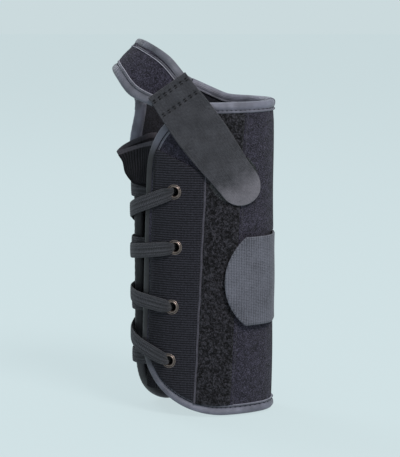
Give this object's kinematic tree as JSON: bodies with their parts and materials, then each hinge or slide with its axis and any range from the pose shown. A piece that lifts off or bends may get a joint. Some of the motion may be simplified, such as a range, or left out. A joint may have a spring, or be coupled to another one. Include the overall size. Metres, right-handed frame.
{
  "type": "wrist splint",
  "caption": "Lace-up wrist and thumb splint: a bound fleece tube open at the thumb side, laced across a knit tongue, with a pull strap, a padded thumb band and removable stays.",
  "frame": {"origin": "middle of the bounding box at the height of the hem that the splint stands on", "axes": "+Z from the forearm hem towards the fingers; -Y towards the back of the hand; -X towards the thumb"},
  "size_m": [0.1069, 0.0622, 0.239],
  "materials": {
    "fleece_face": "brushed",
    "lining_knit": "brushed",
    "binding_tape": "woven",
    "placket_webbing": "ribbed",
    "welt_cord": "woven",
    "loop_pile": "looped pile",
    "eyelet_bronze": "blackened",
    "washer_bronze": "blackened",
    "lace_braid": "ribbed",
    "pull_webbing": "ribbed",
    "cover_tape": "woven",
    "hook_tape": "moulded hooks",
    "tongue_knit": "ribbed knit",
    "stay_metal": "satin",
    "cap_vinyl": "dipped",
    "pocket_cloth": "woven",
    "band_fleece": "brushed",
    "band_tape": "woven",
    "thumb_webbing": "herringbone"
  },
  "bodies": {
    "dorsal": {"dorsal_panel": "fleece_face", "dorsal_lining": "lining_knit", "dorsal_edge_binding": "binding_tape", "dorsal_lace_placket": "placket_webbing", "placket_welt": "welt_cord", "dorsal_loop_strip": "loop_pile", "dorsal_eyelets": "eyelet_bronze", "dorsal_eyelet_washers": "washer_bronze", "dorsal_stay_pocket": "pocket_cloth", "tongue": "tongue_knit"},
    "palmar": {"palmar_panel": "fleece_face", "palmar_lining": "lining_knit", "palmar_edge_binding": "binding_tape", "palmar_lace_placket": "placket_webbing", "palmar_eyelets": "eyelet_bronze", "palmar_eyelet_washers": "washer_bronze", "palmar_stay_pocket": "pocket_cloth", "pull_strap": "pull_webbing", "lace_end_cover": "cover_tape", "upper_lace": "lace_braid", "lower_lace": "lace_braid", "thumb_band": "band_fleece", "thumb_band_lining": "lining_knit", "thumb_band_thumb_binding": "band_tape", "thumb_band_finger_binding": "band_tape"},
    "dorsal_stay": {"dorsal_stay": "stay_metal", "dorsal_stay_caps": "cap_vinyl"},
    "palmar_stay": {"palmar_stay": "stay_metal", "palmar_stay_caps": "cap_vinyl"},
    "pull_strap_tab": {"pull_strap_tab": "pull_webbing", "pull_strap_hook": "hook_tape"},
    "thumb_strap": {"thumb_strap": "thumb_webbing", "thumb_strap_hook": "hook_tape"}
  },
  "joints": [
    {"name": "lacing_gap", "type": "hinge", "parent": "dorsal", "child": "palmar", "pos_m": [0.05035, -0.00042, 0.1], "axis": [0, 0, -1], "range_deg": [0, 12], "deforming": ["upper_lace", "lower_lace", "thumb_band", "thumb_band_lining", "thumb_band_thumb_binding", "thumb_band_finger_binding"]},
    {"name": "pull_strap_peel", "type": "hinge", "parent": "dorsal", "child": "pull_strap_tab", "pos_m": [0.05285, -0.00057, 0.08675], "axis": [0, 0, 1], "range_deg": [0, 105]},
    {"name": "thumb_strap_peel", "type": "hinge", "parent": "dorsal", "child": "thumb_strap", "pos_m": [-0.01595, -0.02902, 0.2106], "axis": [-0.817, 0.0559, -0.574], "range_deg": [0, 120]},
    {"name": "dorsal_stay_slide", "type": "slide", "parent": "dorsal", "child": "dorsal_stay", "axis": [0, 0, 1], "range_m": [0, 0.19]},
    {"name": "palmar_stay_slide", "type": "slide", "parent": "palmar", "child": "palmar_stay", "axis": [0, 0, 1], "range_m": [0, 0.19]}
  ]
}
